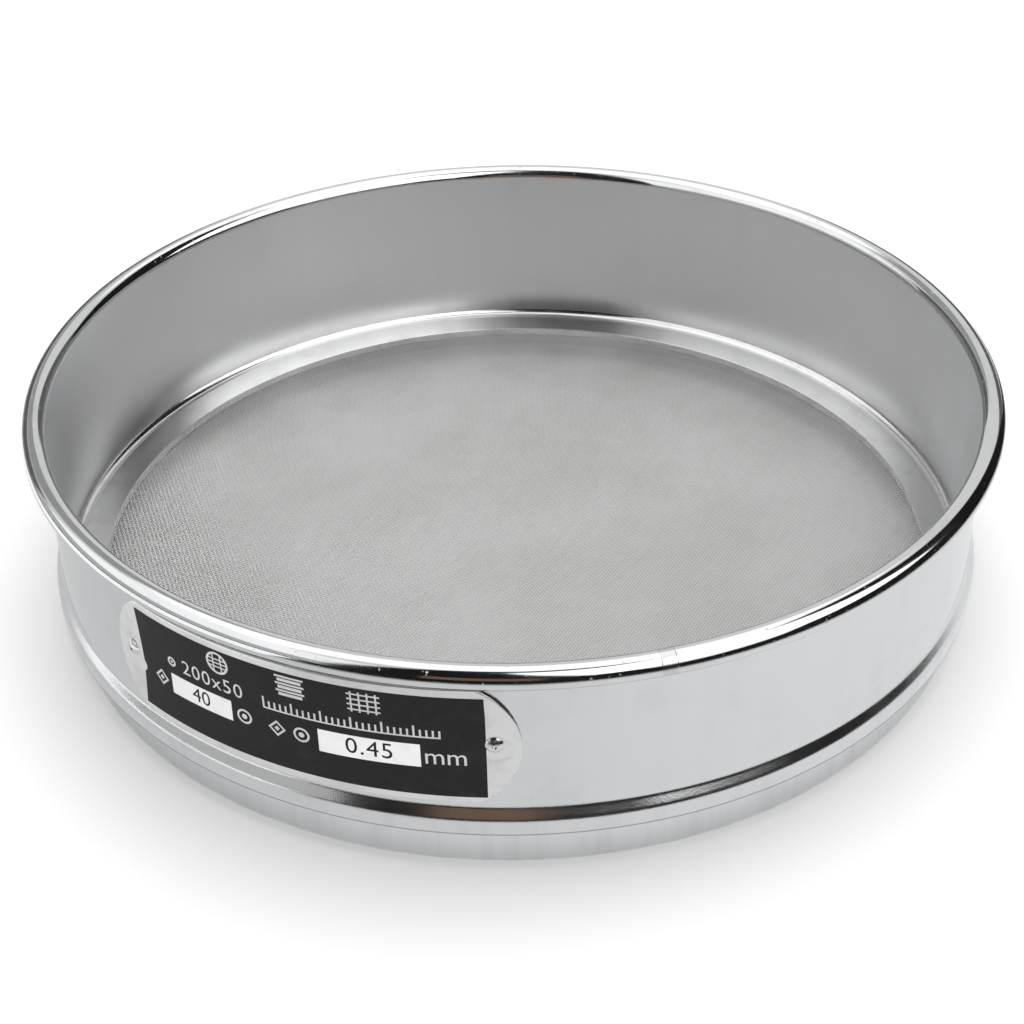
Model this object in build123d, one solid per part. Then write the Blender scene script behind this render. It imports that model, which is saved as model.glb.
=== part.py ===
"""Laboratory soil sieve, 200 mm across and 50 mm high, with a 0.45 mm woven wire cloth.

The frame is two rolled and spun rings of sheet steel, soldered together and chrome plated.
The upper ring carries the rolled rim and ends in a flared socket. The lower ring stands in
that socket and narrows to the skirt that enters the rim of the next sieve in a stack. The
cloth is held in the lower ring between a flat retaining ring, soldered in above it, and a
fillet of solder below.

Millimetres, +Z up, origin at the centre of the circle that the sieve stands on.
"""
from build123d import *

import os
from math import cos, degrees, radians, sin, tan

# ---- driving dimensions -------------------------------------------------------------
HEIGHT = 50.0               # skirt edge to the top of the rim
BORE_R = 100.0              # inside radius of the wall
SHEET = 0.8                 # thickness of the frame's sheet steel

RIM_R = 2.5                 # outside radius of the rolled rim
RIM_TURN = 307.0            # degrees that the sheet turns through in the rim

SOCKET_R = 102.3            # outside radius of the upper ring's flared socket
SOCKET_TOP = 15.8           # height where the wall starts to flare
SOCKET_SLOPE = 29.0         # the flare's slope, degrees from vertical
SOCKET_BEND_R = 3.0         # radius of its two bends, to the middle of the sheet
SOCKET_EDGE = 9.3           # height of the socket's cut edge

SKIRT_R = 99.2              # outside radius of the skirt
NECK_BOTTOM = 6.9           # height where the skirt starts to widen
NECK_SLOPE = 60.0           # the neck's slope, degrees from vertical
NECK_BEND_R = 1.2
INSERT_TOP = 12.6           # height of the lower ring's upper edge, in the socket

JOINT_BOTTOM = 9.6          # lowest solder in the joint of the two rings
JOINT_SHOULDER = 13.65      # above this it only fills the groove beside the flare
JOINT_TOP = 15.0

WIRE_D = 0.2                # diameter of the cloth's wires
CLOTH_TOP = 6.4             # height of the sieving surface
CLOTH_R = 98.2              # radius that the cloth is cut to

RETAINER_HOLE_R = 91.8
RETAINER_R = 98.2
RETAINER_TOP = 8.2          # height of its upper face beside the hole
RETAINER_SLOPE = 1.5        # that face's fall towards the middle, degrees
RETAINER_EDGE = 0.15        # rounding of its edge over the cloth

RING_FILLET_R = 98.0        # where the solder on the retaining ring begins
RING_FILLET_BEND = (99.4, 8.7)  # radius and height where its face turns up
RING_FILLET_TOP = 9.85      # how far it rises up the wall
RING_FILLET_BOTTOM = 7.4    # how deep it runs beside the retaining ring
RING_FILLET_SINK = 0.02     # its feather edge starts this far under the ring's face

FILLET_LEG = 2.4            # leg of the solder fillet under the cloth
FILLET_HOLLOW = 2.9         # radius of the fillet's hollow face

SEAM_ANGLE = -75.0          # azimuth of the upper ring's brazed seam, degrees
SEAM_GAP = 0.3

PLATE_LENGTH = 89.6         # over its rounded ends, measured round the wall
PLATE_STRAIGHT = 74.0       # between the ends' corners, measured round the wall
PLATE_HEIGHT = 26.4
PLATE_SHEET = 0.4
PLATE_GAP = 0.05            # air between the plate and the wall
PLATE_ANGLE = -115.0        # azimuth of the plate's middle, degrees
PLATE_MID_Z = 29.4          # height of the plate's middle
PLATE_TILT = 1.1            # the plate was riveted on with its right end high, degrees

RIVET_SPACING = 79.6        # between the rivets, measured round the wall
RIVET_RISE = 0.4            # height of their line above the plate's middle line
RIVET_SHANK_R = 1.0
RIVET_HOLE_R = 1.05
RIVET_HEAD_R = 1.8
RIVET_HEAD_H = 0.7
RIVET_DIMPLE_R = 0.45
RIVET_DIMPLE_DEPTH = 0.35
RIVET_TAIL_R = 1.4
RIVET_TAIL_H = 0.4
RIVET_TAIL_GAP = 0.02       # keeps the flat tail clear of the round wall

# ---- sizes that follow --------------------------------------------------------------
WALL_R = BORE_R + SHEET
WALL_MID_R = BORE_R + SHEET / 2
SOCKET_MID_R = SOCKET_R - SHEET / 2
SKIRT_MID_R = SKIRT_R - SHEET / 2
SKIRT_BORE_R = SKIRT_R - SHEET
CLOTH_BOTTOM = CLOTH_TOP - 2 * WIRE_D
PLATE_IN_R = WALL_R + PLATE_GAP
PLATE_OUT_R = PLATE_IN_R + PLATE_SHEET
REACH = 150.0               # longer than anything that a cutting tool passes through
UP = 90.0                   # heading of a section that rises


def strip_section(start, heading, moves, thickness):
    """Section of a bent sheet, as a face in radius and height.

    start is the middle of its first cut edge and heading its direction in degrees. A move
    ("run", length) is straight. A move ("bend", radius, turn) follows an arc of that
    middle radius and turns anticlockwise by turn degrees, or clockwise if it is negative.
    """
    half = thickness / 2
    x, y = start
    edges = []

    def across(side):
        return x - side * half * sin(radians(heading)), y + side * half * cos(radians(heading))

    first_left = across(1)
    first_right = across(-1)
    for move in moves:
        left, right = across(1), across(-1)
        if move[0] == "run":
            x += move[1] * cos(radians(heading))
            y += move[1] * sin(radians(heading))
            edges += [Line(left, across(1)), Line(right, across(-1))]
        else:
            _, radius, turn = move
            side = 1 if turn > 0 else -1
            centre = (x - side * radius * sin(radians(heading)), y + side * radius * cos(radians(heading)))
            from_angle = heading - side * UP
            edges.append(CenterArc(centre, radius - side * half, from_angle, turn))
            edges.append(CenterArc(centre, radius + side * half, from_angle, turn))
            heading += turn
            x = centre[0] + side * radius * sin(radians(heading))
            y = centre[1] - side * radius * cos(radians(heading))
    edges += [Line(first_left, first_right), Line(across(1), across(-1))]
    return make_face([piece.edge() for piece in edges])


def joggle(shift, slope, bend_r):
    """Moves that carry a rising sheet sideways by shift, and the height that they take."""
    side = 1 if shift < 0 else -1
    straight = (abs(shift) - 2 * bend_r * (1 - cos(radians(slope)))) / sin(radians(slope))
    rise = 2 * bend_r * sin(radians(slope)) + straight * cos(radians(slope))
    moves = [("bend", bend_r, side * slope), ("run", straight), ("bend", bend_r, -side * slope)]
    return moves, rise


def ring(section):
    """Solid ring from a face in radius and height."""
    return revolve(Plane.XZ * section, axis=Axis.Z)


def band(inner_r, outer_r, bottom, top):
    """Plain ring of rectangular section."""
    width, height = outer_r - inner_r, top - bottom
    return ring(Pos(inner_r + width / 2, bottom + height / 2) * Rectangle(width, height))


def at_wall(angle, z):
    """Frame on the sieve's axis at height z, with its local +Z pointing out at an azimuth."""
    return Pos(0, 0, z) * Rot(0, 0, angle) * Rot(0, 90, 0)


def seam_slot():
    """The block that the open seam of the upper ring occupies."""
    return Rot(0, 0, SEAM_ANGLE) * Pos(BORE_R, 0, HEIGHT / 2) * Box(8 * RIM_R, SEAM_GAP, 2 * HEIGHT)


def rivet_places():
    """Frames of the two rivets, on a line that is tilted with the plate."""
    half_angle = degrees(RIVET_SPACING / 2 / PLATE_OUT_R)
    middle = PLATE_MID_Z + RIVET_RISE
    rise = RIVET_SPACING / 2 * sin(radians(PLATE_TILT))
    return [at_wall(PLATE_ANGLE + side * half_angle, middle + side * rise) for side in (-1, 1)]


def rivet_holes():
    return [place * Pos(0, 0, BORE_R) * Cylinder(RIVET_HOLE_R, 4 * RIM_R) for place in rivet_places()]


def upper_ring_blank():
    """The upper ring before its seam and its rivet holes: socket, flare, wall and rolled rim."""
    flare, rise = joggle(WALL_MID_R - SOCKET_MID_R, SOCKET_SLOPE, SOCKET_BEND_R)
    moves = [("run", SOCKET_TOP - rise - SOCKET_EDGE)]
    moves += flare
    moves += [("run", HEIGHT - RIM_R - SOCKET_TOP), ("bend", RIM_R - SHEET / 2, -RIM_TURN)]
    return ring(strip_section((SOCKET_MID_R, SOCKET_EDGE), UP, moves, SHEET))


def make_upper_ring():
    return upper_ring_blank() - seam_slot() - rivet_holes()


def make_seam_braze():
    """Braze metal that fills the seam of the upper ring."""
    return upper_ring_blank() & seam_slot()


def make_lower_ring():
    """Skirt, neck and the straight part that stands in the socket."""
    neck, rise = joggle(WALL_MID_R - SKIRT_MID_R, NECK_SLOPE, NECK_BEND_R)
    moves = [("run", NECK_BOTTOM)] + neck + [("run", INSERT_TOP - NECK_BOTTOM - rise)]
    return ring(strip_section((SKIRT_MID_R, 0), UP, moves, SHEET))


def make_joint_solder():
    """Solder that fills the socket round the lower ring and comes flush with the wall inside."""
    room = band(BORE_R, SOCKET_R - SHEET, JOINT_BOTTOM, JOINT_SHOULDER)
    room += band(BORE_R, WALL_R, JOINT_SHOULDER, JOINT_TOP)
    return room - upper_ring_blank() - make_lower_ring()


def make_cloth():
    """The woven cloth as a disc two wires thick."""
    thickness = CLOTH_TOP - CLOTH_BOTTOM
    return Pos(0, 0, CLOTH_BOTTOM + thickness / 2) * Cylinder(CLOTH_R, thickness)


def retaining_ring_face(radius):
    """Height of the retaining ring's upper face at a radius."""
    return RETAINER_TOP + (radius - RETAINER_HOLE_R) * tan(radians(RETAINER_SLOPE))


def make_retaining_ring():
    """Flat ring that lies on the cloth inside the skirt."""
    corners = [
        (RETAINER_HOLE_R, CLOTH_TOP),
        (RETAINER_R, CLOTH_TOP),
        (RETAINER_R, retaining_ring_face(RETAINER_R)),
        (RETAINER_HOLE_R, RETAINER_TOP),
    ]
    section = make_face(Polyline(*corners, close=True))
    upper_edge = section.vertices().sort_by(Axis.X)[:2].sort_by(Axis.Y)[-1]
    return ring(fillet(upper_edge, RETAINER_EDGE))


def make_ring_solder():
    """Solder between the retaining ring's outer edge and the wall, its face rising in two slopes."""
    corners = [
        (RING_FILLET_R, RING_FILLET_BOTTOM),
        (BORE_R, RING_FILLET_BOTTOM),
        (BORE_R, RING_FILLET_TOP),
        RING_FILLET_BEND,
        (RING_FILLET_R, retaining_ring_face(RING_FILLET_R) - RING_FILLET_SINK),
    ]
    room = ring(make_face(Polyline(*corners, close=True))) - make_retaining_ring()
    return room - make_lower_ring() - band(SKIRT_R, REACH, 0, NECK_BOTTOM + NECK_BEND_R)


def make_cloth_solder():
    """Hollow-faced fillet under the cloth, reaching up beside the cloth's cut edge."""
    foot = (SKIRT_BORE_R, CLOTH_BOTTOM - FILLET_LEG)
    toe = (SKIRT_BORE_R - FILLET_LEG, CLOTH_BOTTOM)
    outline = [
        Line(foot, (SKIRT_BORE_R, CLOTH_TOP)),
        Line((SKIRT_BORE_R, CLOTH_TOP), (CLOTH_R, CLOTH_TOP)),
        Line((CLOTH_R, CLOTH_TOP), (CLOTH_R, CLOTH_BOTTOM)),
        Line((CLOTH_R, CLOTH_BOTTOM), toe),
        RadiusArc(toe, foot, FILLET_HOLLOW),
    ]
    return ring(make_face([piece.edge() for piece in outline]))


def make_name_plate():
    """Thin plate with rounded ends, curved to the wall and holed for its rivets."""
    corner = PLATE_OUT_R * sin(PLATE_STRAIGHT / 2 / PLATE_OUT_R)
    tip = PLATE_OUT_R * sin(PLATE_LENGTH / 2 / PLATE_OUT_R)
    half = PLATE_HEIGHT / 2
    outline = [
        Line((half, -corner), (half, corner)),
        ThreePointArc((half, corner), (0, tip), (-half, corner)),
        Line((-half, corner), (-half, -corner)),
        ThreePointArc((-half, -corner), (0, -tip), (half, -corner)),
    ]
    blank = Rot(0, 0, PLATE_TILT) * extrude(make_face([piece.edge() for piece in outline]), REACH)
    shell = band(PLATE_IN_R, PLATE_OUT_R, 0, HEIGHT)
    return (at_wall(PLATE_ANGLE, PLATE_MID_Z) * blank & shell) - rivet_holes()


def make_rivet():
    """Domed rivet along local +Z, which starts at the sieve's axis."""
    tail_top = BORE_R - RIVET_TAIL_GAP
    dome_r = (RIVET_HEAD_R ** 2 + RIVET_HEAD_H ** 2) / 2 / RIVET_HEAD_H
    dome_centre = PLATE_OUT_R + RIVET_HEAD_H - dome_r
    head_room = Pos(0, 0, PLATE_OUT_R + RIVET_HEAD_H) * Cylinder(2 * RIVET_HEAD_R, 2 * RIVET_HEAD_H)
    head = Pos(0, 0, dome_centre) * Sphere(dome_r) & head_room
    shank_length = PLATE_OUT_R + RIVET_HEAD_H / 4 - tail_top
    shank = Pos(0, 0, tail_top + shank_length / 2) * Cylinder(RIVET_SHANK_R, shank_length)
    tail = Pos(0, 0, tail_top - RIVET_TAIL_H / 2) * Cylinder(RIVET_TAIL_R, RIVET_TAIL_H)
    dimple = Pos(0, 0, PLATE_OUT_R + RIVET_HEAD_H) * Cylinder(RIVET_DIMPLE_R, 2 * RIVET_DIMPLE_DEPTH)
    return head + shank + tail - dimple


def make_plate_rivets():
    rivet = make_rivet()
    return Compound([place * rivet for place in rivet_places()])


NODES = {
    "upper_ring": make_upper_ring,
    "seam_braze": make_seam_braze,
    "lower_ring": make_lower_ring,
    "joint_solder": make_joint_solder,
    "wire_cloth": make_cloth,
    "retaining_ring": make_retaining_ring,
    "ring_solder": make_ring_solder,
    "cloth_solder": make_cloth_solder,
    "name_plate": make_name_plate,
    "plate_rivets": make_plate_rivets,
}

os.makedirs("parts", exist_ok=True)
for node, make in NODES.items():
    export_step(make(), f"parts/{node}.step")
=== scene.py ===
from math import asin, cos, hypot, pi, radians, sin, sqrt

import bmesh
import bpy
import numpy as np
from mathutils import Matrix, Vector


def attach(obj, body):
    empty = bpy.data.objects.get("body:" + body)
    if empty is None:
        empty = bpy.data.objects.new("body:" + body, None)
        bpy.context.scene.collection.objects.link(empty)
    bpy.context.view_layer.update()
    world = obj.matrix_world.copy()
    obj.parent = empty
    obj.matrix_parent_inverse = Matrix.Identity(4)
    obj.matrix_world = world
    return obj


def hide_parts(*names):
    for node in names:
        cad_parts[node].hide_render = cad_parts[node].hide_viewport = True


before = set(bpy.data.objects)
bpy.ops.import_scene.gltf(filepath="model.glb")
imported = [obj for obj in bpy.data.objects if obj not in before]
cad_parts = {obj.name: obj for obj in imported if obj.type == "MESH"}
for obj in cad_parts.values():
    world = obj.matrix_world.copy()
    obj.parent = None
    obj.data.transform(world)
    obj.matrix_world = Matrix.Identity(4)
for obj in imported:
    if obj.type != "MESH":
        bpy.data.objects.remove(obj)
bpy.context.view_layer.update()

MM = 0.001
BODY = "root"

# ---- sizes of the CAD model that the new pieces have to fit --------------------------
BORE_R = 100.0
SHEET = 0.8
RIM_Z = 47.5                # middle of the rolled rim
RIM_R = 2.5
RIM_TURN = 307.0            # degrees that the sheet turns through in the rim
SOCKET_R = 102.3            # outside of the socket's straight part
SOCKET_EDGE = 9.3           # height of its cut edge
SOCKET_TOP = 15.8           # the flare runs from here down to SOCKET_NECK
FLARE_SLOPE = radians(29.0)
FLARE_BEND_R = 3.0          # to the middle of the sheet
FLARE_SPREAD = SOCKET_R - BORE_R - SHEET    # how far the flare takes the sheet outward
# The flare is straight for FLARE_RUN between its two bends.
FLARE_RUN = (FLARE_SPREAD - 2 * FLARE_BEND_R * (1 - cos(FLARE_SLOPE))) / sin(FLARE_SLOPE)
SOCKET_NECK = SOCKET_TOP - 2 * FLARE_BEND_R * sin(FLARE_SLOPE) - FLARE_RUN * cos(FLARE_SLOPE)
JOINT_TOP = 15.0            # top of the solder between the two frame rings
NECK_TOP = 9.2              # the inside is straight from here up to the rim
SEAM_ANGLE = -75.0
CLOTH_MID_Z = 6.2
CLOTH_R = 98.0
PLATE_R = 101.25            # outside of the name plate
PLATE_SHEET = 0.4
PLATE_LENGTH = 89.6
PLATE_STRAIGHT = 74.0
PLATE_HEIGHT = 26.4
PLATE_ANGLE = -115.0
PLATE_MID_Z = 29.8          # height of the middle of its print and rivets
PLATE_DROP = 0.4            # its outline lies this much lower
PLATE_TILT = 1.1
RIVET_SPACING = 79.6
RIVET_HOLE_R = 1.05

# ---- fineness of the turned rings -----------------------------------------------------
BEND_STEP = radians(5.0)    # of a bend in the sheet
WALL_STEPS = 540            # faces round the wall
SOLDER_STEPS = 720          # and round each run of solder

# ---- the woven cloth ------------------------------------------------------------------
WIRE_D = 0.2
WIRE_PITCH = 0.65
WARP_ANGLE = 62.2           # azimuth that the warp wires run along, degrees
WIRES_PER_PIECE = 51

# ---- print on the name plate ----------------------------------------------------------
INK = 0.02                  # thickness of one layer
INK_BASE = 0.01             # the first layer's height above the plate's face
LIFTED_CORNER = 0.5         # how far the plate's free corner stands off
SPRUNG_EDGE = 0.25          # and its long edges
PLATE_BARE = 38.4           # the plate is bare metal further than this from its middle
TOOL_MARK_R = 2.7           # ring that the setting tool left round each rivet
TOOL_MARK_DEPTH = 0.13
CORNER_START = (33.0, -2.0)                 # along and up, where the free corner starts to lift
WINDOWS = ((-28.3, -5.0, -12.8, -0.2), (6.1, -5.8, 26.0, -0.5))     # left, bottom, right, top

# ---- studio, in metres and degrees ----------------------------------------------------
FLOOR_SIDE = 8.0
FLOOR_Z = -0.00002
ROOM = (-128, 45)           # azimuths of the dark room that the front of the chrome mirrors
DARK = 0.012                # strength of its light
CARD_STEPS = 24
CAMERA_PLACE = (0.0, -0.38946, 0.27988)
CAMERA_TURNS = (55.523, 0.901, -0.532)      # about X, Y and Z
CAMERA_FIELD = 27.597       # width of the view


# ======================================================================================
# Node trees
# ======================================================================================
class Graph:
    """A node tree, with short calls for the few kinds of node that this script uses."""

    def __init__(self, tree):
        self.tree = tree
        tree.nodes.clear()

    def new(self, kind, inputs=None, **settings):
        node = self.tree.nodes.new(kind)
        for name, value in settings.items():
            setattr(node, name, value)
        for key, value in (inputs or {}).items():
            self.feed(node.inputs[key], value)
        return node

    def feed(self, socket, value):
        if isinstance(value, bpy.types.NodeSocket):
            self.tree.links.new(value, socket)
        else:
            socket.default_value = value

    def math(self, operation, a, b=0.0):
        return self.new("ShaderNodeMath", {0: a, 1: b}, operation=operation).outputs[0]

    def times(self, first, *others):
        for other in others:
            first = self.math("MULTIPLY", first, other)
        return first

    def plus(self, first, *others):
        for other in others:
            first = self.math("ADD", first, other)
        return first

    def ramp(self, value, low, high, at_low=0.0, at_high=1.0):
        """A smooth step of value from at_low to at_high, flat outside low to high."""
        inputs = {"Value": value, "From Min": low, "From Max": high,
                  "To Min": at_low, "To Max": at_high}
        return self.new("ShaderNodeMapRange", inputs, interpolation_type="SMOOTHSTEP").outputs[0]

    def noise(self, vector, size, detail=2.0, roughness=0.5):
        """Noise from 0 to 1 whose lumps are about size millimetres across."""
        inputs = {"Vector": vector, "Scale": 1.0 / size, "Detail": detail, "Roughness": roughness}
        return self.new("ShaderNodeTexNoise", inputs).outputs["Fac"]

    def colour(self, factor, first, second):
        node = self.new("ShaderNodeMix", data_type="RGBA")
        self.feed(node.inputs["Factor"], factor)
        self.feed(node.inputs["A"], first)
        self.feed(node.inputs["B"], second)
        return node.outputs["Result"]

    def position(self):
        """Position on the object in millimetres."""
        here = self.new("ShaderNodeTexCoord").outputs["Object"]
        inputs = {"Vector": here, "Scale": 1.0 / MM}
        return self.new("ShaderNodeVectorMath", inputs, operation="SCALE").outputs["Vector"]

    def parts(self, vector):
        """The X, Y and Z of a vector."""
        return self.new("ShaderNodeSeparateXYZ", {"Vector": vector}).outputs

    def radius(self, vector):
        """Distance of a position from the sieve's axis."""
        x, y, _ = self.parts(vector)
        return self.math("SQRT", self.plus(self.times(x, x), self.times(y, y)))

    def height(self, vector):
        return self.parts(vector)[2]

    def azimuth(self, vector):
        """Azimuth of a position in degrees."""
        x, y, _ = self.parts(vector)
        return self.times(self.math("ARCTAN2", y, x), 180 / pi)

    def mapped(self, vector, **settings):
        """A position scaled or turned about the origin, for noise drawn out in one direction."""
        return self.new("ShaderNodeMapping", {"Vector": vector, **settings}).outputs["Vector"]

    def bump(self, height, depth, before=None):
        """Normal for a height from 0 to 1 that stands for depth millimetres."""
        inputs = {"Height": height, "Distance": depth * MM, "Strength": 1.0}
        if before is not None:
            inputs["Normal"] = before
        return self.new("ShaderNodeBump", inputs).outputs["Normal"]

    def finish(self, inputs):
        """Ends a material in a surface with these inputs."""
        shader = self.new("ShaderNodeBsdfPrincipled", inputs)
        self.new("ShaderNodeOutputMaterial", {"Surface": shader.outputs["BSDF"]})

    def shine(self, colour, strength):
        """Ends a material in plain light."""
        light = self.new("ShaderNodeEmission", {"Color": colour, "Strength": strength})
        self.new("ShaderNodeOutputMaterial", {"Surface": light.outputs["Emission"]})


def material(name):
    made = bpy.data.materials.new(name)
    made.use_nodes = True
    return made, Graph(made.node_tree)


def grey(value, warm=0.0):
    """A neutral colour, made warmer or, with a negative number, cooler."""
    return (value * (1 + warm), value, value * (1 - warm), 1.0)


# ======================================================================================
# Materials
# ======================================================================================
def frame_chrome():
    """Bright plating outside and on the rim, satin inside the wall, orange peel on the flare."""
    made, g = material("frame_chrome")
    vector = g.position()
    radius = g.radius(vector)
    height = g.height(vector)
    satin = satin_inside(g, radius, height)
    strip = seam_strip(g, vector, radius, height)
    flare = flare_outside(g, radius, height)
    clouds = g.noise(vector, 22.0, 3.0, 0.6)
    base = g.colour(dull_patches(g, vector, clouds, satin), grey(0.78, -0.01), grey(0.6, -0.004))
    base = g.colour(runs_down(g, vector, height), base, grey(0.55, -0.004))
    base = g.colour(g.times(strip, 0.3), base, grey(0.5))
    # a darker line along the outside just above the socket's cut edge
    base = g.colour(socket_edge_line(g, radius, height), base, grey(0.25))
    # painted shade on the inside wall, darkest just above the retaining ring
    base = g.colour(painted_shade_above_ring(g, height, satin), base, grey(0.45))
    haze = g.ramp(clouds, 0.4, 0.7, 0.06, 0.12)
    specks = g.noise(vector, 1.4, 2.0)
    roughness = g.plus(haze, g.times(specks, 0.03), g.times(satin, 0.23), g.times(strip, 0.06),
                       g.times(flare, 0.07))
    normal = g.bump(g.times(g.noise(vector, 0.35, 2.0), flare), 0.011)
    normal = g.bump(g.noise(vector, 14.0, 1.0), 0.05, normal)
    normal = g.bump(rim_knocks(g, vector, height), 0.05, normal)
    normal = g.bump(strip, 0.05, normal)
    g.finish({"Base Color": base, "Metallic": 1.0, "Roughness": roughness, "Normal": normal})
    return made


def satin_inside(g, radius, height):
    """1 on the inside of the wall, which was brushed and not polished."""
    above_neck = g.ramp(height, NECK_TOP - 0.4, NECK_TOP)
    below_rim = g.ramp(height, RIM_Z, RIM_Z + 1.0, 1.0, 0.0)
    inward = g.ramp(radius, BORE_R + 0.25, BORE_R + 0.5, 1.0, 0.0)
    return g.times(above_neck, below_rim, inward)


def flare_outside(g, radius, height):
    """1 on the outside of the flare, where bending the sheet left orange peel."""
    above_neck = g.ramp(height, SOCKET_NECK - 0.6, SOCKET_NECK + 0.4)
    below_top = g.ramp(height, SOCKET_TOP - 0.6, SOCKET_TOP, 1.0, 0.0)
    outward = g.ramp(radius, BORE_R + 0.5, BORE_R + 0.7)
    return g.times(above_neck, below_top, outward)


def dull_patches(g, vector, clouds, satin):
    """Handled patches, fainter on the satin inside."""
    wipes = g.noise(vector, 7.0, 4.0, 0.7)
    patches = g.times(g.ramp(clouds, 0.45, 0.72), g.ramp(wipes, 0.3, 0.75, 0.1, 0.45))
    return g.times(patches, g.math("SUBTRACT", 1.0, g.times(satin, 0.8)))


def runs_down(g, vector, height):
    """Faint upright streaks, strongest on the skirt."""
    drawn = g.mapped(vector, Scale=(1.0, 1.0, 0.04))
    streaks = g.ramp(g.noise(drawn, 5.0, 3.0, 0.6), 0.4, 0.8)
    return g.times(streaks, g.ramp(height, SOCKET_EDGE - 1.0, SOCKET_TOP, 0.35, 0.05))


def socket_edge_line(g, radius, height):
    """A dark line along the outside, just above the socket's cut edge."""
    low = g.ramp(height, SOCKET_EDGE + 0.1, SOCKET_EDGE + 0.4, 0.8, 0.0)
    outside = g.ramp(radius, SOCKET_R - 0.7, SOCKET_R - 0.4)
    return g.times(low, outside)


def painted_shade_above_ring(g, height, satin):
    """Painted shade on the inside of the wall, darkest just above the solder on the retaining ring
    and fading upward.
    """
    return g.times(g.ramp(height, NECK_TOP, NECK_TOP + 5.5, 0.55, 0.0), satin)


def rim_knocks(g, vector, height):
    """Height from 0 to 1 of the rolled rim with its small knocks, and 1 all over the rest."""
    knocks = g.ramp(g.noise(vector, 1.1, 3.0, 0.7), 0.66, 0.76, 1.0, 0.0)
    return g.math("MAXIMUM", knocks, g.ramp(height, RIM_Z - 1.0, RIM_Z, 1.0, 0.0))


def seam_strip(g, vector, radius, height):
    """1 on the dressed strip where the rim's seam was closed."""
    aside = g.math("ABSOLUTE", g.math("SUBTRACT", g.azimuth(vector), SEAM_ANGLE))
    strip = g.ramp(aside, 0.76, 0.84, 1.0, 0.0)
    outside = g.ramp(radius, BORE_R + 1.2, BORE_R + 1.6)
    on_rim = g.ramp(height, RIM_Z - 3.5, RIM_Z - 2.5)
    return g.times(strip, outside, on_rim)


def ring_chrome():
    """Bright plating of the retaining ring and its solder, a little smeared."""
    made, g = material("ring_chrome")
    vector = g.position()
    smears = g.noise(vector, 9.0, 3.0, 0.6)
    base = g.colour(g.ramp(smears, 0.5, 0.75), grey(0.78), grey(0.68, 0.01))
    roughness = g.ramp(smears, 0.35, 0.75, 0.12, 0.2)
    normal = g.bump(g.noise(vector, 6.0, 2.0), 0.03)
    g.finish({"Base Color": base, "Metallic": 1.0, "Roughness": roughness, "Normal": normal})
    return made


def wire_steel():
    """Drawn stainless wire, in soft clouds and with faint stripes along the warp."""
    made, g = material("cloth_wire")
    vector = g.position()
    clouds = g.noise(vector, 30.0, 3.0, 0.65)
    turn = (0.0, 0.0, radians(-WARP_ANGLE))
    drawn = g.mapped(g.mapped(vector, Rotation=turn), Scale=(0.03, 1.0, 1.0))
    streaks = g.noise(drawn, 1.6, 2.0, 0.6)
    tone = g.plus(g.times(clouds, 0.85), g.times(streaks, 0.15))
    base = g.colour(g.ramp(tone, 0.38, 0.66), grey(0.67, 0.006), grey(0.58, 0.015))
    roughness = g.ramp(clouds, 0.3, 0.7, 0.3, 0.34)
    g.finish({"Base Color": base, "Metallic": 1.0, "Roughness": roughness})
    return made


def solder_tin():
    """Dull lumpy solder that was not plated."""
    made, g = material("solder")
    vector = g.position()
    lumps = g.noise(vector, 2.5, 3.0, 0.6)
    base = g.colour(g.ramp(lumps, 0.35, 0.7), grey(0.5), grey(0.32, 0.05))
    roughness = g.ramp(lumps, 0.3, 0.7, 0.3, 0.5)
    normal = g.bump(lumps, 0.12)
    g.finish({"Base Color": base, "Metallic": 1.0, "Roughness": roughness, "Normal": normal})
    return made


def plate_aluminium():
    """Rolled aluminium, scuffed, with fine scratches along the plate."""
    made, g = material("plate_aluminium")
    vector = g.position()
    scratches = g.noise(g.mapped(vector, Scale=(0.08, 0.08, 1.0)), 0.12, 3.0, 0.7)
    clouds = g.noise(vector, 5.0, 3.0, 0.6)
    base = g.colour(g.ramp(clouds, 0.4, 0.7), grey(0.9), grey(0.8, 0.008))
    roughness = g.ramp(scratches, 0.3, 0.7, 0.29, 0.38)
    normal = g.bump(scratches, 0.004)
    normal = g.bump(g.noise(vector, 3.5, 2.0), 0.05, normal)
    g.finish({"Base Color": base, "Metallic": 1.0, "Roughness": roughness, "Normal": normal})
    return made


def rivet_aluminium():
    """Bright soft metal, dented by the setting tool."""
    made, g = material("rivet_aluminium")
    vector = g.position()
    dents = g.noise(vector, 0.6, 2.0)
    base = g.colour(dents, grey(0.85), grey(0.7))
    g.finish({"Base Color": base, "Metallic": 1.0, "Roughness": g.ramp(dents, 0.3, 0.7, 0.12, 0.24),
              "Normal": g.bump(dents, 0.06)})
    return made


def black_ink():
    """Matt ink, rubbed greyer in places."""
    made, g = material("black_ink")
    vector = g.position()
    wear = g.noise(vector, 4.0, 4.0, 0.65)
    base = g.colour(g.ramp(wear, 0.45, 0.8), grey(0.014), grey(0.024))
    g.finish({"Base Color": base, "Roughness": g.ramp(wear, 0.3, 0.7, 0.4, 0.55),
              "Specular IOR Level": 0.15, "Normal": g.bump(wear, 0.01)})
    return made


def white_panel():
    """The white windows for the numerals, slightly soiled."""
    made, g = material("white_panel")
    vector = g.position()
    grime = g.noise(vector, 3.0, 3.0, 0.6)
    base = g.colour(g.ramp(grime, 0.45, 0.8), grey(0.78), grey(0.7, 0.01))
    g.finish({"Base Color": base, "Roughness": g.ramp(grime, 0.3, 0.7, 0.35, 0.5)})
    return made


def floor_paint():
    """Plain pale matt floor."""
    made, g = material("floor")
    vector = g.position()
    mottle = g.noise(vector, 60.0, 2.0)
    g.finish({"Base Color": g.colour(mottle, grey(0.88), grey(0.9)), "Roughness": 0.9,
              "Specular IOR Level": 0.2})
    return made


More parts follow.
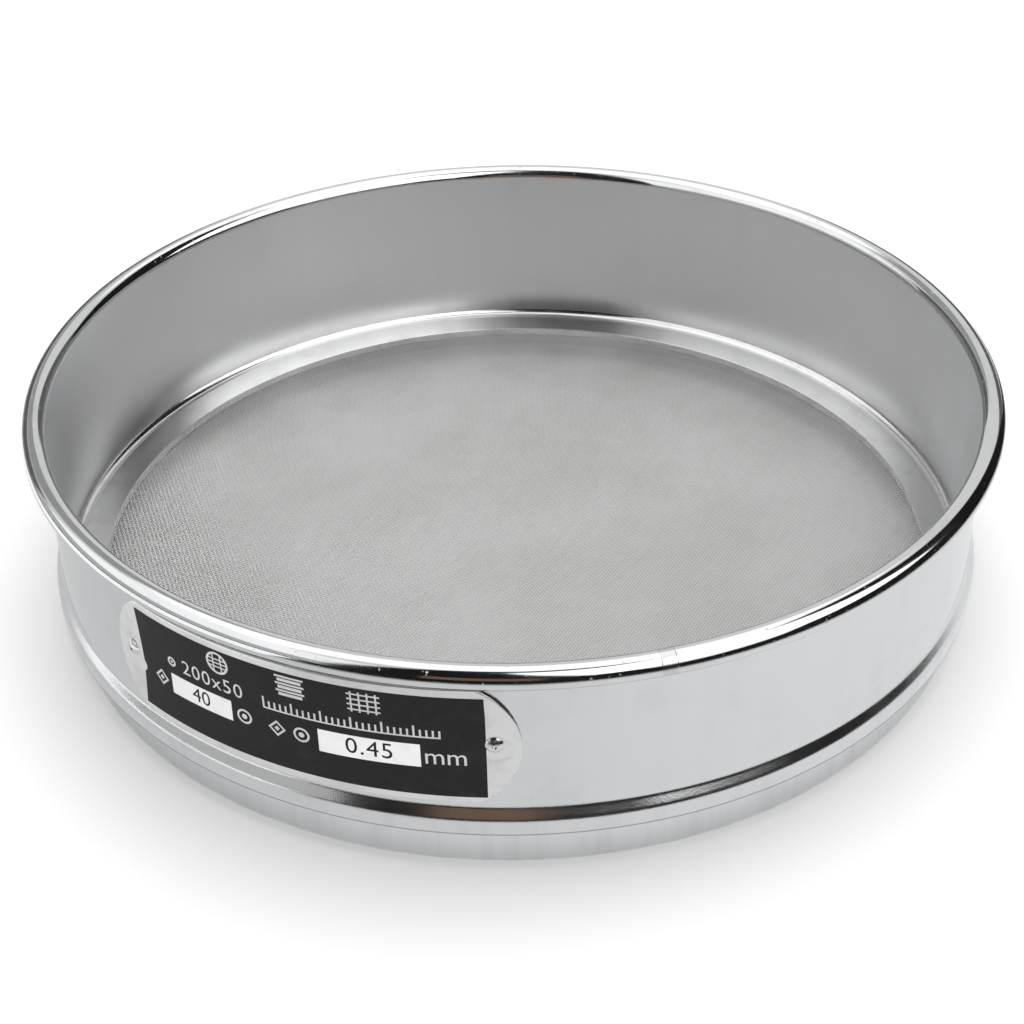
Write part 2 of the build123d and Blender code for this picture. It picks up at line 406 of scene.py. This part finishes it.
def glow(name, colour, strength):
    """Plain light of one colour, for the cards that the chrome mirrors."""
    made, g = material(name)
    g.shine(colour, strength)
    return made


def floor_glow():
    """The lit floor beside the sieve, as light that only the chrome mirrors: brighter towards the
    right, with a painted shadow close round the skirt, fading into the room.
    """
    made, g = material("bright_floor")
    vector = g.position()
    radius = g.radius(vector)
    rightward = g.ramp(g.parts(vector)[0], -130.0, 130.0, 0.64, 0.84)
    # painted shadow of the sieve on the floor, close round the skirt
    skirt_shadow = g.ramp(radius, 98.0, 106.0, 0.72, 1.0)
    far = g.ramp(radius, 150.0, 230.0, 1.0, 0.015)
    g.shine(grey(1.0, -0.006), g.times(rightward, skirt_shadow, far))
    return made


# ======================================================================================
# Meshes
# ======================================================================================
def add_object(name, data, finish=None):
    made = bpy.data.objects.new(name, data)
    bpy.context.scene.collection.objects.link(made)
    if finish is not None:
        data.materials.append(finish)
    return made


def mesh_from_arrays(name, points, faces):
    """Smooth-shaded mesh from an array of points and an array of equal-sided faces."""
    mesh = bpy.data.meshes.new(name)
    count, sides = faces.shape
    mesh.vertices.add(len(points))
    mesh.vertices.foreach_set("co", np.asarray(points, dtype=np.float32).ravel())
    mesh.loops.add(count * sides)
    mesh.loops.foreach_set("vertex_index", faces.astype(np.int32).ravel())
    mesh.polygons.add(count)
    mesh.polygons.foreach_set("loop_start", np.arange(0, count * sides, sides, dtype=np.int32))
    mesh.polygons.foreach_set("use_smooth", np.full(count, True))
    mesh.update(calc_edges=True)
    return mesh


def lathe(name, radii, heights):
    """Closed ring whose section may change round it: arrays of turns by sides, millimetres.

    A section runs clockwise, with the radius to the right, so that the faces look outward.
    """
    turns, sides = radii.shape
    angles = np.arange(turns)[:, None] * 2 * pi / turns
    points = np.stack([radii * np.cos(angles), radii * np.sin(angles), heights], -1)
    ring = np.arange(turns)[:, None]
    following = (ring + 1) % turns
    side = np.arange(sides)[None, :]
    onward = (side + 1) % sides
    corners = [ring * sides + side, ring * sides + onward, following * sides + onward,
               following * sides + side]
    faces = np.stack(corners, -1).reshape(-1, 4)
    mesh = mesh_from_arrays(name, points.reshape(-1, 3) * MM, faces)
    mesh.set_sharp_from_angle(angle=radians(50))
    return mesh


def add_piece(name, mesh, finish, slot, *nodes):
    """A piece of the sieve that stands for the CAD nodes named."""
    made = add_object(name, mesh, finish)
    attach(made, BODY)
    if nodes:
        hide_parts(*nodes)


# ---- wire cloth -----------------------------------------------------------------------
def wire(offset, over):
    """Rings of points of one woven wire: along it, beside it and up, in millimetres.

    The wire passes over and under the wires that cross it, a pitch apart. over is 1 or -1,
    for the way that it starts.
    """
    reach = sqrt(CLOTH_R ** 2 - offset ** 2)
    first = -int(reach / WIRE_PITCH - 0.5) - 1
    crossings = np.arange(2 * first + 1, -2 * first) / 2
    along = crossings * WIRE_PITCH
    swing = np.cos(pi * (crossings - 0.5)) * over
    rise = swing * WIRE_D / 2
    slope = np.gradient(rise, along)
    turn = np.arange(4) * pi / 2
    beside = np.cos(turn) * WIRE_D / 2
    up = np.sin(turn) * WIRE_D / 2
    lean = np.sqrt(1 + slope ** 2)
    points = np.empty((len(along), 4, 3))
    points[:, :, 0] = along[:, None] - up[None, :] * (slope / lean)[:, None]
    points[:, :, 1] = offset + beside[None, :]
    points[:, :, 2] = rise[:, None] + up[None, :] / lean[:, None]
    return points.reshape(-1, 3)


def tube_faces(rings, start):
    """Quads of a four-sided tube whose rings of points begin at start."""
    ring = np.arange(rings - 1)[:, None] * 4 + start
    side = np.arange(4)[None, :]
    following = (side + 1) % 4
    corners = [ring + side, ring + following, ring + 4 + following, ring + 4 + side]
    return np.stack(corners, -1).reshape(-1, 4)


def wire_sheaf(name, numbers, angle, finish):
    """One piece of cloth: the numbered parallel wires of one direction."""
    points, faces, start = [], [], 0
    for number in numbers:
        offset = (number + 0.5) * WIRE_PITCH
        tube = wire(offset, (-1) ** number)
        rings = len(tube) // 4
        points.append(tube)
        faces.append(tube_faces(rings, start))
        first_cap = start + np.array([[3, 2, 1, 0]])
        last_cap = start + 4 * (rings - 1) + np.array([[0, 1, 2, 3]])
        faces += [first_cap, last_cap]
        start += len(tube)
    points = np.concatenate(points)
    turn = radians(angle)
    placed = np.empty_like(points)
    placed[:, 0] = points[:, 0] * cos(turn) - points[:, 1] * sin(turn)
    placed[:, 1] = points[:, 0] * sin(turn) + points[:, 1] * cos(turn)
    placed[:, 2] = points[:, 2] + CLOTH_MID_Z
    mesh = mesh_from_arrays(name, placed * MM, np.concatenate(faces))
    add_piece(name, mesh, finish, "cloth_wire", "wire_cloth")


def weave_cloth():
    finish = wire_steel()
    half = int(CLOTH_R / WIRE_PITCH - 0.5)
    numbers = list(range(-half - 1, half + 1))
    groups = [numbers[i:i + WIRES_PER_PIECE] for i in range(0, len(numbers), WIRES_PER_PIECE)]
    for order, group in enumerate(groups, 1):
        wire_sheaf(f"warp_wires_{order}", group, WARP_ANGLE, finish)
        wire_sheaf(f"weft_wires_{order}", group, WARP_ANGLE - 90, finish)


# ---- name plate -----------------------------------------------------------------------
def on_wall(along, up, out):
    """Point at a place on the name plate, bent round the wall, in metres.

    along and up are measured from the plate's middle on its own tilted axes, and out from
    its face.
    """
    tilt = radians(PLATE_TILT)
    level = along * cos(tilt) - up * sin(tilt)
    height = along * sin(tilt) + up * cos(tilt)
    turn = radians(PLATE_ANGLE) + level / PLATE_R
    radius = PLATE_R + out
    return Vector((radius * cos(turn), radius * sin(turn), PLATE_MID_Z + height)) * MM


def slice_grid(bm, step):
    """Cuts a flat mesh along and up its axes so that it can bend."""
    for axis in (0, 1):
        values = [v.co[axis] for v in bm.verts]
        normal = Vector((1, 0, 0)) if axis == 0 else Vector((0, 1, 0))
        for cut in np.arange(min(values) + step, max(values), step):
            geometry = bm.verts[:] + bm.edges[:] + bm.faces[:]
            bmesh.ops.bisect_plane(bm, geom=geometry, plane_co=normal * float(cut), plane_no=normal)


def flat_outline(loops):
    """Flat bmesh of closed outlines in plate axes. An outline inside another is a hole."""
    curve = bpy.data.curves.new("outline", "CURVE")
    curve.dimensions = "2D"
    curve.fill_mode = "BOTH"
    for loop in loops:
        spline = curve.splines.new("POLY")
        spline.points.add(len(loop) - 1)
        for point, (x, y) in zip(spline.points, loop):
            point.co = (x, y, 0, 1)
        spline.use_cyclic_u = True
    return flat_mesh(curve)


def flat_text(words, size, middle, spread=1.0):
    """Flat bmesh of upright numerals, centred on a place in plate axes."""
    curve = bpy.data.curves.new("numerals", "FONT")
    curve.body = words
    curve.size = size
    curve.align_x = "CENTER"
    curve.align_y = "CENTER"
    curve.space_character = spread
    curve.resolution_u = 4
    bm = flat_mesh(curve)
    bmesh.ops.translate(bm, verts=bm.verts[:], vec=(*middle, 0))
    return bm


def flat_mesh(curve):
    """Filled faces of a flat curve or text, which is then removed."""
    holder = bpy.data.objects.new("outline", curve)
    mesh = bpy.data.meshes.new_from_object(holder)
    bm = bmesh.new()
    bm.from_mesh(mesh)
    bmesh.ops.remove_doubles(bm, verts=bm.verts[:], dist=0.001)
    bpy.data.objects.remove(holder)
    bpy.data.meshes.remove(mesh)
    bpy.data.curves.remove(curve)
    return bm


def bent_sheet(name, bm, step, bottom, thickness, edge=0.0):
    """Turns a flat outline into a closed thin sheet on the wall.

    step is the spacing of the cuts that let it bend, bottom its height above the plate's face,
    and edge the rounding of its upper edge.
    """
    slice_grid(bm, step)
    bmesh.ops.recalc_face_normals(bm, faces=bm.faces[:])
    if sum(face.normal.z for face in bm.faces) < 0:
        bmesh.ops.reverse_faces(bm, faces=bm.faces[:])
    bmesh.ops.solidify(bm, geom=bm.faces[:], thickness=thickness)
    lowest = min(vert.co.z for vert in bm.verts)
    for vert in bm.verts:
        vert.co.z -= lowest
    bm.normal_update()
    if edge:
        rim = [e for e in bm.edges if len(e.link_faces) == 2
               and max(f.normal.z for f in e.link_faces) > 0.9
               and min(f.normal.z for f in e.link_faces) < 0.5]
        bmesh.ops.bevel(bm, geom=rim, offset=edge, segments=2, affect="EDGES", profile=0.5)
    for vert in bm.verts:
        along, up, out = vert.co
        vert.co = on_wall(along, up, bottom + out + plate_lift(along, up))
    bmesh.ops.recalc_face_normals(bm, faces=bm.faces[:])
    mesh = bpy.data.meshes.new(name)
    bm.to_mesh(mesh)
    bm.free()
    mesh.polygons.foreach_set("use_smooth", np.full(len(mesh.polygons), True))
    mesh.set_sharp_from_angle(angle=radians(35))
    return mesh


def circle(centre, radius, points=32, start=0.0, turn=360.0):
    angles = [radians(start + turn * i / points) for i in range(points)]
    return [(centre[0] + radius * cos(a), centre[1] + radius * sin(a)) for a in angles]


def box(left, bottom, right, top):
    return [(left, bottom), (right, bottom), (right, top), (left, top)]


def plate_outline():
    """Straight long edges and rounded ends."""
    half = PLATE_HEIGHT / 2
    corner = PLATE_STRAIGHT / 2
    bulge = PLATE_LENGTH / 2 - corner
    end_r = (half ** 2 + bulge ** 2) / 2 / bulge
    sweep = asin(half / end_r)
    steps = [sweep * (i / 12 - 1) for i in range(25)]
    right = [(corner + bulge - end_r + end_r * cos(a), end_r * sin(a)) for a in steps]
    left = [(-x, -y) for x, y in right]
    return [(x, y - PLATE_DROP) for x, y in right + left]


def plate_lift(along, up):
    """Height of the plate's face above true.

    The long edges and the free corner stand off, and the rivets' setting tool left a ring
    round each head.
    """
    bow = SPRUNG_EDGE * (up / PLATE_HEIGHT * 2) ** 2
    first_along, first_up = CORNER_START
    corner = max(0.0, along - first_along) / 11.0 * max(0.0, up - first_up) / 15.0
    mark = 0.0
    if abs(along) > PLATE_BARE:
        away = hypot(abs(along) - RIVET_SPACING / 2 - 0.3, up + 0.7) - TOOL_MARK_R
        mark = TOOL_MARK_DEPTH * max(0.0, 1 - abs(away) / 0.6)
    return bow + LIFTED_CORNER * corner ** 2 - mark


def sieve_mark(centre):
    """A sieve seen from above: a ring with wires across it."""
    x, y = centre
    loops = [circle(centre, 2.6), circle(centre, 2.1)]
    bars = [box(x - 2.05, y + dy - 0.15, x + 2.05, y + dy + 0.15) for dy in (-0.9, 0.0, 0.9)]
    uprights = [box(x + dx - 0.15, y - 2.05, x + dx + 0.15, y + 2.05) for dx in (-0.9, 0.9)]
    return [loops] + [[bar] for bar in bars + uprights]


def stack_mark(centre):
    """Three sieves stacked, seen from the side."""
    x, y = centre
    parts = []
    for level in (-1.7, 0.0, 1.7):
        parts.append([box(x - 3.0, y + level + 0.3, x + 3.0, y + level + 0.75)])
        parts.append([box(x - 2.5, y + level - 0.65, x + 2.5, y + level + 0.05)])
    return parts


def grid_mark(centre):
    """A piece of woven wire."""
    x, y = centre
    across = [box(x - 3.2, y + d - 0.18, x + 3.2, y + d + 0.18) for d in (-1.8, -0.6, 0.6, 1.8)]
    upright = [box(x + d - 0.18, y - 2.4, x + d + 0.18, y + 2.4) for d in (-2.4, -0.8, 0.8, 2.4)]
    return [[bar] for bar in across + upright]


def scale_mark(left, right, middle, pitch=1.2):
    """A row of rule divisions, every fifth one long."""
    parts = []
    count = int((right - left) / pitch) + 1
    for i in range(count):
        x = left + i * pitch
        reach = 1.25 if i % 5 == 0 else 0.8
        parts.append([box(x - 0.2, middle - 1.25, x + 0.2, middle - 1.25 + 2 * reach)])
    parts.append([box(left - 0.2, middle - 1.55, left + (count - 1) * pitch + 0.2, middle - 1.2)])
    return parts


def ring_mark(centre, reach, dot):
    """A ring with a dot in it."""
    return [[circle(centre, reach), circle(centre, reach - 0.45)], [circle(centre, dot)]]


def diamond_mark(centre, reach):
    """One square on its corner inside another."""
    outer = [circle(centre, reach, 4), circle(centre, reach - 0.6, 4)]
    return [outer, [circle(centre, reach - 1.3, 4)]]


def printed(name, flats, layer, finish):
    """One piece of print from several flat outlines. Layers count upward from 0."""
    joined = bmesh.new()
    for flat in flats:
        mesh = bent_sheet(name, flat, 1.0, INK_BASE + layer * INK, INK)
        joined.from_mesh(mesh)
        bpy.data.meshes.remove(mesh)
    mesh = bpy.data.meshes.new(name)
    joined.to_mesh(mesh)
    joined.free()
    add_piece(name, mesh, finish, "plate_aluminium")


def make_plate():
    holes = [circle((side * RIVET_SPACING / 2, 0), RIVET_HOLE_R, 24) for side in (-1, 1)]
    metal = plate_aluminium()
    flat = flat_outline([plate_outline()] + holes)
    plate = bent_sheet("plate_body", flat, 0.5, -PLATE_SHEET, PLATE_SHEET, edge=0.1)
    add_piece("plate_body", plate, metal, "plate_aluminium", "name_plate")
    print_plate(metal)


def print_plate(metal):
    """Black field with bare metal marks, white windows, and black numerals in those."""
    ink = black_ink()
    nick = circle((-37.6, -2.6), 1.6, 10, -62.0, 124.0)
    field = [(-37.4, -11.8), (38.1, -12.5), (38.2, -4.0), (38.3, 6.5), (38.2, 11.0), (-37.3, 11.2)]
    field += reversed(nick)
    printed("plate_black_field", [flat_outline([field])], 0, ink)
    printed("plate_windows", [flat_outline([box(*window)]) for window in WINDOWS], 1, white_panel())

    numerals = [flat_text("40", 4.7, (-20.4, -2.6)), flat_text("0.45", 5.2, (16.2, -3.1), 1.08)]
    printed("plate_numerals", numerals, 2, ink)

    parts = sieve_mark((-15.0, 8.0)) + stack_mark((1.2, 7.9)) + grid_mark((15.9, 7.8))
    parts += scale_mark(-5.0, 29.8, 2.7)
    parts += ring_mark((-27.6, 2.8), 1.1, 0.3) + diamond_mark((-31.2, -2.6), 1.9)
    parts += ring_mark((-9.9, -2.8), 1.7, 0.6) + diamond_mark((-2.6, -3.0), 1.9)
    parts += ring_mark((2.6, -3.0), 1.7, 0.6)
    marks = [flat_outline(part) for part in parts]
    marks += [flat_text("200x50", 4.6, (-17.2, 2.8), 1.12), flat_text("mm", 5.4, (30.7, -3.3))]
    printed("plate_marks", marks, 1, metal)


# ---- upper ring -----------------------------------------------------------------------
def sheet_middle(start, moves):
    """Radius, height and heading of points along the middle of a sheet that starts upright.

    A move (length, 0) is straight. A move (radius, turn) follows an arc, anticlockwise by turn
    radians or clockwise if it is negative.
    """
    points = [(*start, pi / 2)]
    for size, turn in moves:
        x, y, heading = points[-1]
        if turn == 0:
            for reach in (0.3, size - 0.3, size):
                points.append((x + reach * cos(heading), y + reach * sin(heading), heading))
            continue
        lever = size if turn > 0 else -size
        middle = (x - lever * sin(heading), y + lever * cos(heading))
        steps = int(abs(turn) / BEND_STEP) + 2
        for step in range(1, steps + 1):
            onward = heading + turn * step / steps
            points.append((middle[0] + lever * sin(onward), middle[1] - lever * cos(onward), onward))
    return np.array(points)


def make_upper_ring(finish):
    """The wall with its flared socket and rolled rim, its brazed seam dressed flush."""
    half = SHEET / 2
    moves = [(SOCKET_NECK - SOCKET_EDGE, 0),
             (FLARE_BEND_R, FLARE_SLOPE),
             (FLARE_RUN, 0),
             (FLARE_BEND_R, -FLARE_SLOPE),
             (RIM_Z - SOCKET_TOP, 0),
             (RIM_R - half, -radians(RIM_TURN))]
    x, y, heading = sheet_middle((SOCKET_R - half, SOCKET_EDGE), moves).T
    inner = np.array([x - half * np.sin(heading), y + half * np.cos(heading)])
    outer = np.array([x + half * np.sin(heading), y - half * np.cos(heading)])
    section_r, section_z = np.concatenate([inner, outer[:, ::-1]], 1)
    every = np.ones((WALL_STEPS, 1))
    mesh = lathe("frame_wall", every * section_r, every * section_z)
    add_piece("frame_wall", mesh, finish, "frame_chrome", "upper_ring", "seam_braze")


# ---- solder ---------------------------------------------------------------------------
def wander(seed, counts):
    """Uneven wave round a run of solder, between -1 and 1, with the given numbers of crests."""
    rng = np.random.default_rng(seed)
    angles = np.arange(SOLDER_STEPS) * 2 * pi / SOLDER_STEPS
    total = np.zeros(SOLDER_STEPS)
    for count in counts:
        size = rng.uniform(0.3, 1.0) / count ** 0.5
        total += size * np.cos(count * angles + rng.uniform(0, 2 * pi))
    return (total / np.abs(total).max())[:, None]


def make_ring_fillet(finish):
    """The smooth solder between the retaining ring and the wall, under the same plating."""
    toe_r = 98.15 + 0.12 * wander(3, (2, 3, 5, 9, 14))
    toe_z, top_z, under_z = 8.35, 9.6, 8.1
    bend_r, bend_z = 99.45, 8.55
    back_r, back_z = 99.9, 8.9
    every = np.ones((SOLDER_STEPS, 1))
    t = np.linspace(0, 1, 10)[None, :]
    face_r = toe_r * (1 - t) ** 2 + 2 * bend_r * t * (1 - t) + BORE_R * t ** 2
    face_z = toe_z * (1 - t) ** 2 + 2 * bend_z * t * (1 - t) + top_z * t ** 2
    radii = np.concatenate([face_r, every * back_r, toe_r], 1)
    heights = np.concatenate([every * face_z, every * back_z, every * under_z], 1)
    mesh = lathe("ring_fillet", radii, heights)
    add_piece("ring_fillet", mesh, finish, "ring_chrome", "ring_solder")


def make_cloth_fillet():
    """The run of solder under the cloth, with the lumps that a hand-held iron leaves."""
    leg = 2.15 + 0.2 * wander(7, (3, 5, 8, 13, 21, 34, 55, 89))
    cloth_under = CLOTH_MID_Z - WIRE_D - 0.01
    skirt_r = 98.4
    fall = np.linspace(pi / 2, 0, 10)[None, :]
    every = np.ones((SOLDER_STEPS, 1))
    radii = np.concatenate([skirt_r - leg * (1 - np.sin(fall)), every * skirt_r], 1)
    drop = leg * (1 - np.cos(fall)) * 1.1
    heights = np.concatenate([cloth_under - drop, every * cloth_under], 1)
    mesh = lathe("cloth_fillet", radii, heights)
    add_piece("cloth_fillet", mesh, solder_tin(), "solder", "cloth_solder")


def make_joint_wipe(finish):
    """Solder wiped smooth over the shallow groove where the wall starts to flare."""
    inner_r, outer_r = BORE_R - 0.015, BORE_R + 0.3
    bottom, top = JOINT_TOP - 1.5, SOCKET_TOP + 0.3
    section_r = np.array([inner_r, inner_r, outer_r, outer_r])
    section_z = np.array([bottom, top, top, bottom])
    every = np.ones((SOLDER_STEPS, 1))
    mesh = lathe("joint_wipe", every * section_r, every * section_z)
    add_piece("joint_wipe", mesh, finish, "frame_chrome")


# ======================================================================================
# Studio
# ======================================================================================
def paint(node, finish):
    """Gives a CAD node its material."""
    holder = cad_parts[node]
    if not holder.material_slots:
        holder.data.materials.append(finish)
    for place in holder.material_slots:
        place.material = finish


def mirrored_only(card):
    """Seen only in the chrome, not by the camera, and casts no shadow."""
    card.visible_camera = False
    card.visible_diffuse = False
    card.visible_transmission = False
    card.visible_volume_scatter = False
    card.visible_shadow = False


def dome_card(name, low, high, elevations, finish, radius=2.0):
    """Patch of a dome round the sieve, in degrees.

    low and high are the azimuths of its sides at its lower and upper edge.
    """
    share = np.linspace(0, 1, CARD_STEPS + 1)
    first, last = np.radians(np.linspace(low, high, CARD_STEPS + 1)).T
    turn = first[:, None] + (last - first)[:, None] * share
    rise = np.radians(np.linspace(*elevations, CARD_STEPS + 1))[:, None] * np.ones_like(turn)
    points = np.stack([np.cos(rise) * np.cos(turn), np.cos(rise) * np.sin(turn), np.sin(rise)], -1)
    add_card(name, points * radius, finish)


def floor_card(name, azimuths, radii, finish, height=0.001):
    """Ring segment that lies just above the floor, radii in metres."""
    turn = np.radians(np.linspace(*azimuths, CARD_STEPS + 1))
    turn, out = np.meshgrid(turn, np.linspace(*radii, CARD_STEPS + 1))
    points = np.stack([out * np.cos(turn), out * np.sin(turn), np.full_like(out, height)], -1)
    add_card(name, points, finish)


def level_card(name, low, high, height, finish):
    """Level rectangle overhead, corners in metres."""
    mirrored_only(add_object(name, rectangle(name, low, high, height), finish))


def rectangle(name, low, high, height):
    """Mesh of one level face between two corners."""
    points = np.array([(low[0], low[1], height), (high[0], low[1], height),
                       (high[0], high[1], height), (low[0], high[1], height)])
    return mesh_from_arrays(name, points, np.array([[0, 1, 2, 3]]))


def add_card(name, points, finish):
    """Card whose points lie in CARD_STEPS + 1 rows of as many."""
    row = np.arange(CARD_STEPS)[:, None] * (CARD_STEPS + 1)
    corner = row + np.arange(CARD_STEPS)[None, :]
    above = corner + CARD_STEPS + 1
    faces = np.stack([corner, corner + 1, above + 1, above], -1).reshape(-1, 4)
    mesh = mesh_from_arrays(name, points.reshape(-1, 3), faces)
    mirrored_only(add_object(name, mesh, finish))


def make_studio():
    half = FLOOR_SIDE / 2
    flat = rectangle("floor", (-half, -half), (half, half), FLOOR_Z)
    floor = add_object("floor", flat, floor_paint())
    make_floor_cards()
    make_front_cards()
    make_left_cards()
    make_back_cards()

    world = bpy.data.worlds.new("studio")
    bpy.context.scene.world = world
    world.use_nodes = True
    g = Graph(world.node_tree)
    air = g.new("ShaderNodeBackground", {"Color": grey(1.0), "Strength": 0.75})
    g.new("ShaderNodeOutputWorld", {"Surface": air.outputs[0]})

    area_lamp("overhead", (0.1, 0.25, 1.4), 1.4, 14.0)
    area_lamp("front", (0.0, -1.3, 0.7), 0.8, 5.0)


def make_floor_cards():
    """What the lower part of the chrome mirrors: a lit floor round the sieve, dark beyond."""
    dark = glow("dark_floor", grey(1.0), DARK)
    floor_card("dark_floor", ROOM, (0.23, 2.0), dark)
    floor_card("dark_floor_left", (-245, -128), (0.38, 0.9), dark)
    lit = floor_glow()
    floor_card("bright_floor_front", ROOM, (0.0995, 0.23), lit, 0.0003)
    floor_card("bright_floor_back", (ROOM[1], ROOM[0] + 360), (0.0995, 0.155), lit, 0.0003)


def make_front_cards():
    """A dark room with brown furniture in it, a large softbox and a low window."""
    dome_card("dark_room", ROOM, ROOM, (0, 80), glow("dark_room", grey(1.0), DARK), 2.1)
    brown = (-109, -85)
    dome_card("brown_furniture", brown, brown, (6, 25), glow("brown", (0.17, 0.105, 0.075, 1), 1.0))
    soft = glow("right_light", grey(1.0), 1.7)
    dome_card("right_softbox", (-75, 8), (-94, 8), (20, 70), soft)
    low = glow("low_light", grey(1.0), 1.15)
    dome_card("low_window", (-61, -36), (-67, -28), (12.5, 20), low)


def make_left_cards():
    """A tall window above a paler wall."""
    window = (-208, -128)
    dome_card("left_wall", window, window, (0, 17), glow("left_wall", grey(1.0), 0.5))
    dome_card("left_window", window, window, (17, 58), glow("left_light", grey(1.0), 1.15))


def make_back_cards():
    """Dim corners, a dim room and the softbox over the sieve's far side."""
    dim = (100, 140)
    dome_card("dim_room_behind", dim, dim, (24, 60), glow("dim_room", grey(1.0), 0.35))
    for number, side in enumerate(((45, 76), (104, 150)), 1):
        corner = glow("dark_corner", grey(1.0), 0.12)
        dome_card(f"dark_corner_{number}", side, side, (0, 22), corner)
    top = glow("top_light", grey(1.0), 1.35)
    level_card("overhead_softbox", (-1.1, -0.25), (0.75, 1.45), 1.5, top)


def area_lamp(name, place, size, watts):
    """Square lamp aimed at the sieve, which the chrome does not mirror."""
    lamp = bpy.data.lights.new(name, "AREA")
    lamp.shape = "SQUARE"
    lamp.size = size
    lamp.energy = watts
    holder = add_object(name, lamp)
    holder.location = place
    holder.rotation_euler = (-Vector(place)).to_track_quat("-Z", "Y").to_euler()
    holder.visible_glossy = False


def make_camera():
    lens = bpy.data.cameras.new("camera")
    lens.sensor_fit = "HORIZONTAL"
    lens.angle = radians(CAMERA_FIELD)
    lens.clip_start = 0.01
    holder = add_object("camera", lens)
    holder.location = CAMERA_PLACE
    holder.rotation_euler = [radians(turn) for turn in CAMERA_TURNS]
    bpy.context.scene.camera = holder


# ======================================================================================
# The sieve and its studio
# ======================================================================================
plating = frame_chrome()
ring_plating = ring_chrome()
paint("lower_ring", plating)
paint("joint_solder", plating)
paint("retaining_ring", ring_plating)
paint("plate_rivets", rivet_aluminium())
make_upper_ring(plating)
weave_cloth()
make_plate()
make_ring_fillet(ring_plating)
make_cloth_fillet()
make_joint_wipe(plating)
make_studio()
make_camera()
bpy.context.scene.view_settings.view_transform = "Standard"
